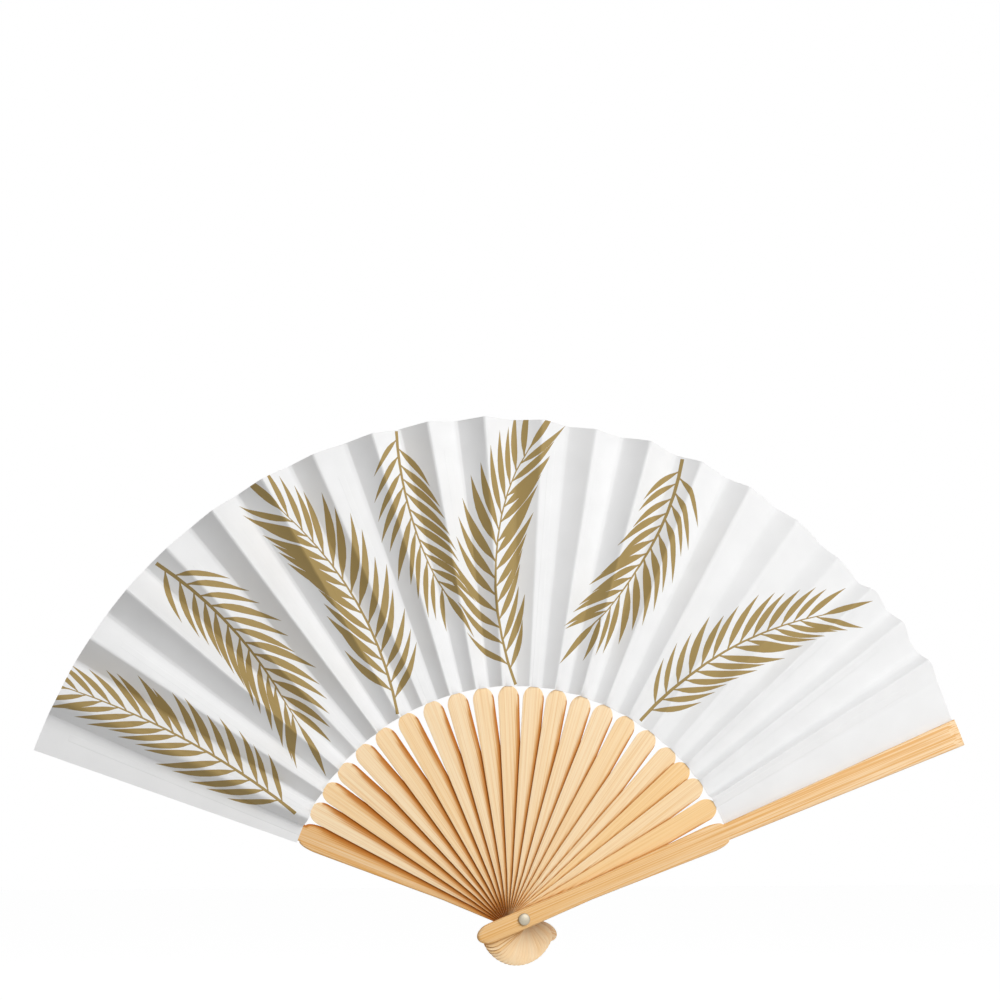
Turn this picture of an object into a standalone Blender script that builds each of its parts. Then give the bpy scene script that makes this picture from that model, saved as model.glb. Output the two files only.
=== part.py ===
"""Folding hand fan: bamboo sticks that turn on one rivet, with a pleated paper leaf.

Metres, +Z up. The fan is open and upright in the XZ plane, and its printed side faces -Y.
The rivet lies along the Y axis and the middle of the stack of sticks is at the origin.
A depth is counted from the origin towards the viewer, so it is -Y.
"""

import math

import bmesh
import bpy
from mathutils import Vector

# Number of sticks, and the angles of the open fan. The ribs stand a little unevenly.
RIB_COUNT = 20
SPAN_COUNT = RIB_COUNT + 1
RIB_DEGREES = (  # of each rib from the rear guard
    6.4, 12.4, 18.7, 25.3, 31.9, 38.9, 46.1, 52.8, 59.6, 66.3,
    72.9, 79.1, 85.6, 91.9, 98.4, 105.1, 112.0, 117.3, 122.7, 129.1,
)
FAN_DEGREES = 136.5  # from the rear guard to the front guard
STICK_DEGREES = (0.0, *RIB_DEGREES, FAN_DEGREES)
HALF_PANEL = math.radians(1.625)  # from a stick's middle to the leaf's fold on each side of it
PANEL_TILT = math.radians(23.0)  # of the leaf on a rib, out of the plane of the fan
UPRIGHT = math.radians(90.0)

# Lengths along a stick, counted from the rivet
GUARD_REACH = 0.2095
REAR_GUARD_REACH = 0.2078  # it ends behind the leaf
GUARD_HEAD_REACH = 0.0205
RIB_HEAD_REACH = 0.0188
BLADE_REACH = 0.0957
SLIP_REACH = 0.1960

# Guard: the thick stick at each end of the stack
GUARD_THICKNESS = 0.0022
GUARD_HEAD_WIDTH = 0.0078
GUARD_HEAD_ROUND = 0.0062
GUARD_WAIST_WIDTH = 0.0072
GUARD_WAIST_REACH = 0.0300
GUARD_BLADE_WIDTH = 0.0108
GUARD_SHOULDER_REACH = 0.0866
GUARD_SHOULDER_ROUND = 0.0076
GUARD_NECK_WIDTH = 0.0069
GUARD_NECK_STEP = 0.0008
GUARD_TIP_WIDTH = 0.0118
GUARD_EDGE_ROUND = 0.0004

# Rib: the thin stick, a blade below the leaf and a narrow slip behind it
RIB_THICKNESS = 0.0005
RIB_HEAD_WIDTH = 0.0080
RIB_HEAD_ROUND = 0.0052
RIB_WAIST_WIDTH = 0.0068
RIB_WAIST_REACH = 0.0180
RIB_BLADE_WIDTH = 0.0090
RIB_TOP_ROUND = 0.0055
SLIP_ROOT_WIDTH = 0.0028
SLIP_TIP_WIDTH = 0.0022

# Gaps: between sticks that slide on each other, and where one piece seats on another
RUNNING_GAP = 0.00035
SEAT_GAP = 0.0003

# Paper leaf
PAPER_THICKNESS = 0.00015
LEAF_REACH = 0.2085
LEAF_LAP = 0.0004  # over the tops of the blades
LEAF_SEAM = 0.0003
LEAF_HEM = 0.0018  # past the rear guard's strip, at the leaf's outer edge

# Rivet: a pin with a domed head in front, and a tail peened over a washer behind
PIN_RADIUS = 0.00125
PIN_CLEARANCE = 0.0003
RIVET_HEAD_RADIUS = 0.0024
RIVET_HEAD_RIM = 0.0003
RIVET_HEAD_DOME = 0.0009
RIVET_TAIL_RADIUS = 0.0021
RIVET_TAIL_RIM = 0.0002
RIVET_TAIL_DOME = 0.0007
WASHER_RADIUS = 0.0030
WASHER_THICKNESS = 0.0004

# How finely round shapes are cut, and how far a cutter runs past what it cuts
ROUND_STEPS = 20
ARC_STEPS = 6
DOME_STEPS = 4
CUT_OVERRUN = 0.001

# Depths that follow from the sizes above
RIB_STEP = RIB_THICKNESS + RUNNING_GAP
STACK_DEPTH = 2 * GUARD_THICKNESS + RIB_COUNT * RIB_STEP + RUNNING_GAP
GUARD_DEPTH = (STACK_DEPTH - GUARD_THICKNESS) / 2
GUARD_TO_RIB = (GUARD_THICKNESS + RIB_THICKNESS) / 2 + RUNNING_GAP

# The leaf over a rib: a half pleat clears the slip's edge, and rises from the rivet outwards
FOLD_RISE = math.sin(HALF_PANEL) * math.tan(PANEL_TILT)
SEATED_PAPER = SEAT_GAP + PAPER_THICKNESS / 2
LEAF_OVER_RIB = RIB_THICKNESS / 2 + SEATED_PAPER + SLIP_ROOT_WIDTH / 2 * math.tan(PANEL_TILT)
LEAF_OVER_GUARD = GUARD_THICKNESS / 2 + SEATED_PAPER


def stick_angle(index):
    """Angle of a stick from +X: 0 is the rear guard, RIB_COUNT + 1 the front guard."""
    return UPRIGHT + math.radians(FAN_DEGREES / 2 - STICK_DEGREES[index])


def stick_depth(index):
    """Depth of a stick's middle plane, growing from the rear guard to the front guard."""
    if index == 0:
        return -GUARD_DEPTH
    if index == SPAN_COUNT:
        return GUARD_DEPTH
    return -GUARD_DEPTH + GUARD_TO_RIB + (index - 1) * RIB_STEP


def clear_scene():
    """Remove what the scene holds, so that the script can be run again."""
    for thing in list(bpy.data.objects):
        bpy.data.objects.remove(thing, do_unlink=True)


def make_material(name, colour, roughness, metallic=0.0):
    """A Principled material of one colour."""
    material = bpy.data.materials.new(name)
    material.use_nodes = True
    shader = material.node_tree.nodes["Principled BSDF"]
    shader.inputs["Base Color"].default_value = (*colour, 1.0)
    shader.inputs["Roughness"].default_value = roughness
    shader.inputs["Metallic"].default_value = metallic
    return material


def add_object(name, mesh, material=None):
    """Put a mesh in the scene as a named object."""
    piece = bpy.data.objects.new(name, mesh)
    bpy.context.scene.collection.objects.link(piece)
    if material and not mesh.materials:
        mesh.materials.append(material)
    return piece


def finish_mesh(name, shape):
    """Turn a bmesh into a mesh with its faces pointing out and round sides shaded smooth."""
    bmesh.ops.recalc_face_normals(shape, faces=shape.faces)
    mesh = bpy.data.meshes.new(name)
    shape.to_mesh(mesh)
    shape.free()
    mesh.shade_smooth()
    mesh.set_sharp_from_angle(angle=math.radians(40.0))
    return mesh


def quarter_ellipse(centre_x, radius_x, radius_z, start, end, steps):
    """Points on an ellipse about (centre_x, 0), from one angle to another."""
    turn = (end - start) / steps
    angles = [start + turn * step for step in range(steps + 1)]
    return [(centre_x + radius_x * math.cos(a), radius_z * math.sin(a)) for a in angles]


def head_edge(reach, width, rounding):
    """Upper edge of a stick's rounded head, from its end to its full width."""
    centre = rounding - reach
    return quarter_ellipse(centre, rounding, width / 2, math.pi, math.pi / 2, ARC_STEPS)


def rib_edge():
    """Upper edge of a rib, from the end of its head to the tip of its slip."""
    root = SLIP_ROOT_WIDTH / 2
    top = quarter_ellipse(
        BLADE_REACH - RIB_TOP_ROUND,
        RIB_TOP_ROUND,
        RIB_BLADE_WIDTH / 2,
        math.pi / 2,
        math.asin(SLIP_ROOT_WIDTH / RIB_BLADE_WIDTH),
        ARC_STEPS,
    )
    edge = head_edge(RIB_HEAD_REACH, RIB_HEAD_WIDTH, RIB_HEAD_ROUND)
    edge.append((RIB_WAIST_REACH, RIB_WAIST_WIDTH / 2))
    edge += top
    edge.append((BLADE_REACH, root))
    edge.append((SLIP_REACH, SLIP_TIP_WIDTH / 2))
    return edge


def guard_edge(reach):
    """Upper edge of a guard, from the end of its head to its square tip."""
    neck = GUARD_NECK_WIDTH / 2
    drop = GUARD_BLADE_WIDTH / 2 - neck
    shoulder = [
        (x, neck + z)
        for x, z in quarter_ellipse(
            GUARD_SHOULDER_REACH, GUARD_SHOULDER_ROUND, drop, math.pi / 2, 0, ARC_STEPS
        )
    ]
    edge = head_edge(GUARD_HEAD_REACH, GUARD_HEAD_WIDTH, GUARD_HEAD_ROUND)
    edge.append((0, GUARD_HEAD_WIDTH / 2))
    edge.append((GUARD_WAIST_REACH, GUARD_WAIST_WIDTH / 2))
    edge += shoulder
    edge.append((GUARD_SHOULDER_REACH + GUARD_SHOULDER_ROUND + GUARD_NECK_STEP, neck))
    edge.append((reach, GUARD_TIP_WIDTH / 2))
    return edge


def flat_stick(name, upper_edge, thickness):
    """A symmetric outline along X, extruded to a plate of the given thickness across Y."""
    lower_edge = [(x, -z) for x, z in reversed(upper_edge) if z > 0]
    outline = [point for point in upper_edge if point[1] > 0]
    outline.insert(0, (upper_edge[0][0], 0))
    outline += lower_edge
    shape = bmesh.new()
    corners = [shape.verts.new((x, thickness / 2, z)) for x, z in outline]
    back = shape.faces.new(corners)
    extruded = bmesh.ops.extrude_face_region(shape, geom=[back])
    front = [item for item in extruded["geom"] if isinstance(item, bmesh.types.BMVert)]
    bmesh.ops.translate(shape, verts=front, vec=Vector((0, -thickness, 0)))
    return finish_mesh(name, shape)


def lathe(name, profile):
    """Turn a closed or axis-to-axis profile of (radius, depth) points about the Y axis."""
    shape = bmesh.new()
    ring = [shape.verts.new((radius, -depth, 0)) for radius, depth in profile]
    edges = [shape.edges.new(pair) for pair in zip(ring, ring[1:])]
    if profile[0][0] > 0:
        edges.append(shape.edges.new((ring[-1], ring[0])))
    bmesh.ops.spin(
        shape,
        geom=ring + edges,
        axis=(0, 1, 0),
        cent=(0, 0, 0),
        angle=2 * math.pi,
        steps=ROUND_STEPS,
        use_merge=True,
    )
    bmesh.ops.remove_doubles(shape, verts=shape.verts, dist=PAPER_THICKNESS / ROUND_STEPS)
    return finish_mesh(name, shape)


def dome(radius, rim, height, base, outwards):
    """Half profile of a domed head: its seat's edge, its rim and the dome up to the axis."""
    points = [(radius, base)]
    for step in range(DOME_STEPS):
        angle = math.pi / 2 * step / DOME_STEPS
        points.append((radius * math.cos(angle), base + outwards * (rim + height * math.sin(angle))))
    points.append((0, base + outwards * (rim + height)))
    return points


def fold_lines(index):
    """Fold lines of the leaf from one stick to the next, from left to right.

    Each is (angle, depth, rise, setback) as seen from the left stick: the line leaves the rivet's
    axis at that depth and comes nearer by rise for each metre. The setback opens the seam.
    """
    turn = stick_angle(index) - stick_angle(index + 1)
    to_next = GUARD_TO_RIB if index == 0 else RIB_STEP
    here = LEAF_OVER_RIB
    there = to_next + LEAF_OVER_RIB
    setback = LEAF_SEAM / 2
    lines = [
        (0, here, 0, -setback),
        (-HALF_PANEL, here, -FOLD_RISE, 0),
        (HALF_PANEL - turn, there, FOLD_RISE, 0),
        (-turn, there, 0, setback),
    ]
    if index == 0:
        # Glued flat on the rear guard, with a hem past its edge
        flat = LEAF_OVER_GUARD
        lines[0] = (HALF_PANEL + LEAF_HEM / LEAF_REACH, flat, 0, 0)
        lines[1] = (-HALF_PANEL, flat, 0, 0)
    if index == RIB_COUNT:
        # Glued flat behind the front guard
        flat = RIB_THICKNESS / 2 + RUNNING_GAP - SEATED_PAPER
        lines[2] = (HALF_PANEL - turn, flat, 0, 0)
        lines[3] = (-HALF_PANEL - turn, flat, 0, setback)
    return lines


def leaf_span(name, index):
    """The leaf from one stick to the next: half a panel, a whole one and half a panel."""
    shape = bmesh.new()
    sides = []
    for offset in (PAPER_THICKNESS / 2, -PAPER_THICKNESS / 2):
        rows = []
        for radius in (BLADE_REACH - LEAF_LAP, LEAF_REACH):
            row = []
            for angle, depth, rise, setback in fold_lines(index):
                turned = angle + setback / radius
                towards_viewer = depth + rise * radius + offset
                place = (radius * math.cos(turned), -towards_viewer, radius * math.sin(turned))
                row.append(shape.verts.new(place))
            rows.append(row)
        sides.append(rows)
    (front_in, front_out), (back_in, back_out) = sides
    for here in range(len(front_in) - 1):
        after = here + 1
        shape.faces.new((front_in[here], front_in[after], front_out[after], front_out[here]))
        shape.faces.new((back_in[here], back_out[here], back_out[after], back_in[after]))
        shape.faces.new((front_in[here], back_in[here], back_in[after], front_in[after]))
        shape.faces.new((front_out[here], front_out[after], back_out[after], back_out[here]))
    for end in (0, -1):
        shape.faces.new((front_in[end], front_out[end], back_out[end], back_in[end]))
    return finish_mesh(name, shape)


def place_on_rivet(piece, index):
    """Turn a piece to its stick's angle, with its origin on the rivet's axis."""
    piece.location = (0, -stick_depth(index), 0)
    piece.rotation_euler = (0, -stick_angle(index), 0)


def make_rivet_cutter():
    """The bore that goes through every stick, a guide that isn't part of the fan."""
    shape = bmesh.new()
    radius = PIN_RADIUS + PIN_CLEARANCE
    bmesh.ops.create_cone(
        shape,
        cap_ends=True,
        segments=ROUND_STEPS,
        radius1=radius,
        radius2=radius,
        depth=STACK_DEPTH + 2 * CUT_OVERRUN,
    )
    cutter = add_object("rivet_bore_cutter", finish_mesh("rivet_bore_cutter", shape))
    cutter.rotation_euler = (math.pi / 2, 0, 0)
    cutter.hide_render = True
    cutter.display_type = "WIRE"
    return cutter


def bore(piece, cutter):
    """Cut the rivet's bore through a stick."""
    cut = piece.modifiers.new("rivet bore", "BOOLEAN")
    cut.operation = "DIFFERENCE"
    cut.solver = "EXACT"
    cut.object = cutter


def make_guards(cutter, material):
    """The two thick outer sticks, with their long edges eased."""
    guards = (("rear_guard", 0, REAR_GUARD_REACH), ("front_guard", SPAN_COUNT, GUARD_REACH))
    for name, index, reach in guards:
        guard = add_object(name, flat_stick(name, guard_edge(reach), GUARD_THICKNESS), material)
        place_on_rivet(guard, index)
        ease = guard.modifiers.new("eased edges", "BEVEL")
        ease.width = GUARD_EDGE_ROUND
        ease.segments = 2
        ease.limit_method = "ANGLE"
        ease.angle_limit = math.radians(60.0)
        bore(guard, cutter)


def make_ribs(cutter, material):
    """The thin sticks between the guards, numbered from the rear one."""
    mesh = flat_stick("rib", rib_edge(), RIB_THICKNESS)
    for index in range(1, SPAN_COUNT):
        rib = add_object(f"rib_{index:02d}", mesh, material)
        place_on_rivet(rib, index)
        bore(rib, cutter)


def make_leaf(material):
    """The paper leaf, cut along the sticks into the spans that fold between them."""
    for index in range(SPAN_COUNT):
        name = f"leaf_span_{index + 1:02d}"
        span = add_object(name, leaf_span(name, index), material)
        place_on_rivet(span, index)


def make_rivet(material):
    """The pin through the stack, and the washer that spreads its tail's grip."""
    face = STACK_DEPTH / 2
    washer_seat = -face - SEAT_GAP
    washer_back = washer_seat - WASHER_THICKNESS
    head_seat = face + SEAT_GAP
    tail_seat = washer_back - SEAT_GAP
    head = dome(RIVET_HEAD_RADIUS, RIVET_HEAD_RIM, RIVET_HEAD_DOME, head_seat, 1)
    tail = dome(RIVET_TAIL_RADIUS, RIVET_TAIL_RIM, RIVET_TAIL_DOME, tail_seat, -1)
    shank = [(PIN_RADIUS, head_seat), (PIN_RADIUS, tail_seat)]
    add_object("rivet_pin", lathe("rivet_pin", head[::-1] + shank + tail), material)
    inside = PIN_RADIUS + PIN_CLEARANCE
    ring = [
        (inside, washer_seat),
        (WASHER_RADIUS, washer_seat),
        (WASHER_RADIUS, washer_back),
        (inside, washer_back),
    ]
    add_object("rivet_washer", lathe("rivet_washer", ring), material)


def main():
    """Build the whole fan."""
    clear_scene()
    bamboo = make_material("bamboo", (0.90, 0.66, 0.40), 0.55)
    guard_bamboo = make_material("guard_bamboo", (0.85, 0.54, 0.26), 0.5)
    paper = make_material("paper", (0.88, 0.88, 0.88), 0.9)
    nickel = make_material("nickel", (0.58, 0.58, 0.53), 0.4, 1.0)
    cutter = make_rivet_cutter()
    make_guards(cutter, guard_bamboo)
    make_ribs(cutter, bamboo)
    make_leaf(paper)
    make_rivet(nickel)


main()
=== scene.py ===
"""Looks of a folding hand fan: bamboo sticks on one rivet and a pleated paper leaf with a print.

Metres, +Z up. The fan is open and upright in the XZ plane, and its printed side faces -Y.
The rivet lies along the Y axis, with the middle of the stack of sticks at the origin. A depth is
counted from there towards the viewer, so it is -Y. A stick's own X runs from the rivet to its
tip, and its own Z points anticlockwise as the viewer sees it.
"""

import math
import random

import bmesh
import bpy
from mathutils import Matrix, Vector
from mathutils.geometry import delaunay_2d_cdt


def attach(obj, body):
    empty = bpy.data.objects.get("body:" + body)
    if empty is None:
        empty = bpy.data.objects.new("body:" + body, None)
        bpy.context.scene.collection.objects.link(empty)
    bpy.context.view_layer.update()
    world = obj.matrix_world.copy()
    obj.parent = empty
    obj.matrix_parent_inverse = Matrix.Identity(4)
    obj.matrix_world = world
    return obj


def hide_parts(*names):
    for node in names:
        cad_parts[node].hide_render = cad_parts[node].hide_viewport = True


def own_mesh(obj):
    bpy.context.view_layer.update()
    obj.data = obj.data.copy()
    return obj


bl_info = {
    "name": "Folding hand fan",
    "version": (1, 0, 0),
    "blender": (4, 5, 0),
    "location": "View3D > Sidebar > Hand fan",
    "description": "Dresses the frame of a folding hand fan in bamboo, paper and nickel",
    "category": "Object",
}

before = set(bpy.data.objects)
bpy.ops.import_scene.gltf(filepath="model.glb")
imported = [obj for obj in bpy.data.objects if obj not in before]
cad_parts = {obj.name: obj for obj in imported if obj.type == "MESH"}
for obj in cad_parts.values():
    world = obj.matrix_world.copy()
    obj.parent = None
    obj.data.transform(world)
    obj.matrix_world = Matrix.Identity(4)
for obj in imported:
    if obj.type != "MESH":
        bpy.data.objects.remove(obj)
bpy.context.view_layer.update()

MM = 0.001

# The sticks, as the part's source has them
RIB_COUNT = 20
LAST = RIB_COUNT + 1  # number of the front guard; the rear guard is 0
STICK_DEGREES = (  # of each stick from the rear guard
    0.0, 6.4, 12.4, 18.7, 25.3, 31.9, 38.9, 46.1, 52.8, 59.6, 66.3,
    72.9, 79.1, 85.6, 91.9, 98.4, 105.1, 112.0, 117.3, 122.7, 129.1, 136.5,
)
HALF_PANEL = math.radians(1.625)
PANEL_TILT = math.radians(23.0)
GUARD_REACH = 0.2095
REAR_GUARD_REACH = 0.2078
GUARD_HEAD_REACH = 0.0205
RIB_HEAD_REACH = 0.0188
BLADE_REACH = 0.0957
SLIP_REACH = 0.1960
GUARD_THICKNESS = 0.0022
GUARD_HEAD_WIDTH = 0.0078
GUARD_HEAD_ROUND = 0.0062
GUARD_WAIST_WIDTH = 0.0072
GUARD_WAIST_REACH = 0.0300
GUARD_BLADE_WIDTH = 0.0108
GUARD_SHOULDER_REACH = 0.0866
GUARD_SHOULDER_ROUND = 0.0076
GUARD_NECK_WIDTH = 0.0069
GUARD_NECK_STEP = 0.0008
GUARD_TIP_WIDTH = 0.0118
RIB_THICKNESS = 0.0005
RIB_HEAD_WIDTH = 0.0080
RIB_HEAD_ROUND = 0.0052
RIB_WAIST_WIDTH = 0.0068
RIB_WAIST_REACH = 0.0180
RIB_BLADE_WIDTH = 0.0090
RIB_TOP_ROUND = 0.0055
SLIP_ROOT_WIDTH = 0.0028
SLIP_TIP_WIDTH = 0.0022
RUNNING_GAP = 0.00035
SEAT_GAP = 0.0003
PAPER_THICKNESS = 0.00015
LEAF_REACH = 0.2085
LEAF_LAP = 0.0004
LEAF_HEM = 0.0018
PIN_RADIUS = 0.00125
PIN_CLEARANCE = 0.0003
RIVET_HEAD_RADIUS = 0.0024
RIVET_HEAD_RIM = 0.0003
RIVET_HEAD_DOME = 0.0009
RIVET_TAIL_RADIUS = 0.0021
RIVET_TAIL_RIM = 0.0002
RIVET_TAIL_DOME = 0.0007
WASHER_RADIUS = 0.0030
WASHER_THICKNESS = 0.0004

# Depths that follow from them
RIB_STEP = RIB_THICKNESS + RUNNING_GAP
STACK_DEPTH = 2 * GUARD_THICKNESS + RIB_COUNT * RIB_STEP + RUNNING_GAP
GUARD_DEPTH = (STACK_DEPTH - GUARD_THICKNESS) / 2
GUARD_TO_RIB = (GUARD_THICKNESS + RIB_THICKNESS) / 2 + RUNNING_GAP
SEATED_PAPER = SEAT_GAP + PAPER_THICKNESS / 2
LEAF_OVER_GUARD = GUARD_THICKNESS / 2 + SEATED_PAPER

# The glued paper's middle stands this far over a slip's edge, and sags this share of its depth
PAPER_OVER_SLIP = 0.00018 + PAPER_THICKNESS / 2
PLEAT_SAG = 0.10
# How far up the leaf, and past a slip's edges, the paper is pressed down on the top of a rib
PRESSED_REACH = 0.003
PRESSED_EASE = 0.0005

# How far the rear guard's tip stays inside its solid, to lie hidden behind the leaf
TUCKED_TIP = 0.001

# How finely the pieces are divided
HEAD_STEPS = 10
TOP_STEPS = 14
SHOULDER_STEPS = 10
LONGEST_STEP = 0.005
BORE_STEPS = 32
LATHE_STEPS = 48
DOME_STEPS = 10
PLEAT_STRIPS = 10
PLEAT_RINGS = 14
PLEAT_CROWDING = 1.6  # above 1, the rings crowd towards the ribs
WELD = 0.002 * MM  # points nearer than this are one
SHARP_STICK_EDGE = math.radians(38.0)
SHARP_RIVET_EDGE = math.radians(40.0)


def linear(hexadecimal):
    """An sRGB hex colour as linear red, green and blue."""
    parts = [int(hexadecimal[i : i + 2], 16) / 255 for i in (0, 2, 4)]
    return tuple(c / 12.92 if c <= 0.04045 else ((c + 0.055) / 1.055) ** 2.4 for c in parts)


def past(value, start, run):
    """How far past the start a value is, counted in runs, or 0 before the start."""
    return max(0.0, (value - start) / run)


def ramp(value, start, end):
    """Rises from 0 at the start to 1 at the end, and is level outside them."""
    return min(1.0, past(value, start, end - start))


def colour_property(name, description, default):
    """A colour that a user can change."""
    return bpy.props.FloatVectorProperty(
        name=name, description=description, default=linear(default), subtype="COLOR", size=3,
        min=0.0, max=1.0,
    )


def length_property(name, description, default):
    """A length that a user can change."""
    return bpy.props.FloatProperty(
        name=name, description=description, default=default, unit="LENGTH", min=0.0, precision=5
    )


class FanSizes(bpy.types.PropertyGroup):
    """Sizes of the details that the frame leaves out."""

    rib_bevel: length_property("Rib bevel", "Width of the worn edge of a rib", 0.0012)
    rib_edge_drop: length_property("Rib edge drop", "How far a rib thins to its edge", 0.00012)
    guard_bevel: length_property("Guard bevel", "Width of a guard's rounded edge", 0.0011)
    guard_edge_drop: length_property("Guard edge drop", "Depth of a guard's rounded edge", 0.0007)
    guard_crown: length_property("Guard crown", "How far a guard's outer side bulges", 0.0002)
    ripple: length_property("Paper ripple", "Height of the slow waves in the paper", 0.00010)
    floor_drop: length_property("Floor drop", "Distance from the rivet down to the floor", 0.10)


class FanColours(bpy.types.PropertyGroup):
    """Colours of the fan's materials."""

    rib_pale: colour_property("Pale rib", "Palest bamboo of the thin sticks", "FFE7C2")
    rib_warm: colour_property("Warm rib", "Most orange bamboo of the thin sticks", "FCD59C")
    rib_streak: colour_property("Rib streak", "Darker fibres of the thin sticks", "F6CB8E")
    # Honey and the toasted side are the brown where a stick slides under the next: partly toast,
    # partly painted shadow of that stick
    honey_and_shade: colour_property("Honey shade", "Shade between bare and toasted bamboo", "DB9C4C")
    toast_and_shade: colour_property("Toasted side", "Brown of the side that slides under", "BC6F26")
    guard_pale: colour_property("Pale guard", "Palest fibres of the thick outer sticks", "FADFBA")
    guard: colour_property("Guard", "Bamboo skin of the thick outer sticks", "F3C588")
    guard_streak: colour_property("Guard streak", "Darker fibres of the guards", "E5A859")
    rear_guard: colour_property("Rear guard", "Bamboo of the rear guard", "EFC590")
    paper: colour_property("Paper", "Coated white paper", "EFEFEF")
    ink: colour_property("Print", "Gold ink of the print", "A38B56")
    nickel: colour_property("Rivet", "Tumbled nickel plating", "AEA695")
    floor: colour_property("Floor", "Pale floor", "D8D8D8")


# Sticks


def stick_angle(index):
    """Angle of a stick from +X: 0 is the rear guard and LAST the front guard."""
    return math.radians(90.0 + STICK_DEGREES[LAST] / 2 - STICK_DEGREES[index])


def stick_depth(index):
    """Depth of a stick's middle plane."""
    if index == 0:
        return -GUARD_DEPTH
    if index == LAST:
        return GUARD_DEPTH
    return -GUARD_DEPTH + GUARD_TO_RIB + (index - 1) * RIB_STEP


def stick_matrix(index):
    """Where a stick's own axes lie in the fan."""
    place = Matrix.Translation((0, -stick_depth(index), 0))
    return place @ Matrix.Rotation(-stick_angle(index), 4, "Y")


def stick_body(index):
    """Name of the body, and of the CAD node, of a stick."""
    if index == 0:
        return "rear_guard"
    return "front_guard" if index == LAST else f"rib_{index:02d}"


def arc_points(centre, radius_x, radius_z, start, end, steps):
    """Points on an ellipse about (centre, 0), from one angle to another."""
    turns = [start + (end - start) * step / steps for step in range(steps + 1)]
    return [(centre + radius_x * math.cos(a), radius_z * math.sin(a)) for a in turns]


def head_edge(reach, width, rounding):
    """Upper edge of a stick's rounded head."""
    centre = rounding - reach
    return arc_points(centre, rounding, width / 2, math.pi, math.pi / 2, HEAD_STEPS)


def rib_edge():
    """Upper edge of a rib, from its head's end to the tip of its slip."""
    edge = head_edge(RIB_HEAD_REACH, RIB_HEAD_WIDTH, RIB_HEAD_ROUND)
    edge.append((RIB_WAIST_REACH, RIB_WAIST_WIDTH / 2))
    edge += arc_points(
        BLADE_REACH - RIB_TOP_ROUND, RIB_TOP_ROUND, RIB_BLADE_WIDTH / 2,
        math.pi / 2, math.asin(SLIP_ROOT_WIDTH / RIB_BLADE_WIDTH), TOP_STEPS,
    )
    return edge + [(BLADE_REACH, SLIP_ROOT_WIDTH / 2), (SLIP_REACH, SLIP_TIP_WIDTH / 2)]


def guard_edge(index):
    """Upper edge of a guard, from its head's end to its square tip."""
    neck = GUARD_NECK_WIDTH / 2
    drop = GUARD_BLADE_WIDTH / 2 - neck
    edge = head_edge(GUARD_HEAD_REACH, GUARD_HEAD_WIDTH, GUARD_HEAD_ROUND)
    edge += [(0.0, GUARD_HEAD_WIDTH / 2), (GUARD_WAIST_REACH, GUARD_WAIST_WIDTH / 2)]
    shoulder = arc_points(
        GUARD_SHOULDER_REACH, GUARD_SHOULDER_ROUND, drop, math.pi / 2, 0, SHOULDER_STEPS
    )
    edge += [(x, neck + z) for x, z in shoulder]
    edge.append((GUARD_SHOULDER_REACH + GUARD_SHOULDER_ROUND + GUARD_NECK_STEP, neck))
    reach = REAR_GUARD_REACH - TUCKED_TIP if index == 0 else GUARD_REACH
    return edge + [(reach, GUARD_TIP_WIDTH / 2)]


def divided(edge):
    """The same edge with its long straight runs divided."""
    points = [edge[0]]
    for (x0, z0), (x1, z1) in zip(edge, edge[1:]):
        parts = max(1, math.ceil(math.hypot(x1 - x0, z1 - z0) / LONGEST_STEP))
        points += [
            (x0 + (x1 - x0) * part / parts, z0 + (z1 - z0) * part / parts)
            for part in range(1, parts + 1)
        ]
    return points


def half_width(edge, x):
    """Half the width of a stick at x, or 0 past its ends."""
    for (x0, z0), (x1, z1) in zip(edge, edge[1:]):
        if x0 <= x <= x1 and x1 > x0:
            return z0 + (z1 - z0) * (x - x0) / (x1 - x0)
    return 0.0


def edge_distance(edge, x, z):
    """Distance from a point to an edge made of straight runs."""
    nearest = 1.0
    for (x0, z0), (x1, z1) in zip(edge, edge[1:]):
        run, rise = x1 - x0, z1 - z0
        length = run * run + rise * rise
        if length > 0:
            share = ramp((x - x0) * run + (z - z0) * rise, 0, length)
            nearest = min(nearest, math.hypot(x - x0 - share * run, z - z0 - share * rise))
    return nearest


def finished(shape, name):
    """The mesh of a closed shape, with its faces turned outwards."""
    bmesh.ops.recalc_face_normals(shape, faces=shape.faces)
    mesh = bpy.data.meshes.new(name)
    shape.to_mesh(mesh)
    shape.free()
    return mesh


def stick_mesh(name, edge, thickness, columns, front_drop, back_drop):
    """A closed stick: rows across it along its length, thinned towards its outline on each side."""
    rows = divided(edge)
    tip = rows[-1][0]
    outline = rows + [(tip, 0.0)]
    shape = bmesh.new()
    sides = []
    for sign, drop in ((1, front_drop), (-1, back_drop)):
        grid = []
        for x, half in rows:
            row = []
            for column in columns:
                z = column * half
                away = edge_distance(outline, x, abs(z))
                depth = sign * (thickness / 2 - drop(away, column))
                row.append(shape.verts.new((x, -depth, z)))
            grid.append(row)
        sides.append(grid)
    front, back = sides
    for grid in sides:
        for here, after in zip(grid, grid[1:]):
            for i in range(len(columns) - 1):
                shape.faces.new((here[i], here[i + 1], after[i + 1], after[i]))
    for column in (0, -1):
        for row in range(len(rows) - 1):
            shape.faces.new((
                front[row][column], front[row + 1][column],
                back[row + 1][column], back[row][column],
            ))
    for row in (0, -1):
        for i in range(len(columns) - 1):
            shape.faces.new((front[row][i], front[row][i + 1], back[row][i + 1], back[row][i]))
    bmesh.ops.remove_doubles(shape, verts=shape.verts, dist=WELD)
    bmesh.ops.dissolve_degenerate(shape, edges=shape.edges, dist=WELD / 2)
    return finished(shape, name)


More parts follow.
